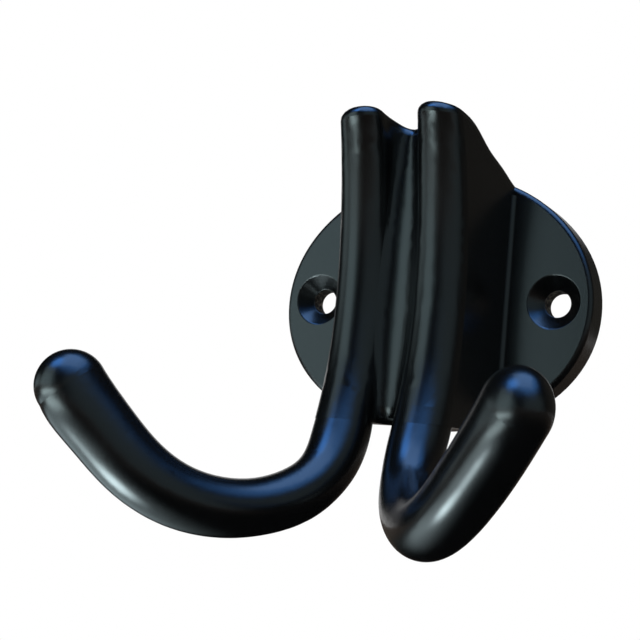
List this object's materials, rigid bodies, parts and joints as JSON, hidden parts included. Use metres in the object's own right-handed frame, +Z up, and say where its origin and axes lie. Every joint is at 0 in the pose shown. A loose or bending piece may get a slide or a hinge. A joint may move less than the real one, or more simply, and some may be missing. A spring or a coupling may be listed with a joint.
{
  "type": "double coat hook",
  "caption": "Coat hook cast in one piece: an oval screw-on base plate, a grooved trunk and round prongs that splay apart and turn up to hold garments and bags.",
  "frame": {"origin": "on the back face of the base plate, midway between the two screw holes", "axes": "+Z up the wall, +Y into the wall, +X to the right as seen from the room; the prongs stand out towards -Y"},
  "size_m": [0.0588, 0.0438, 0.0522],
  "materials": {
    "double_hook": "satin black coating over a zinc alloy casting"
  },
  "bodies": {
    "root": {"double_hook": "double_hook"}
  },
  "joints": []
}
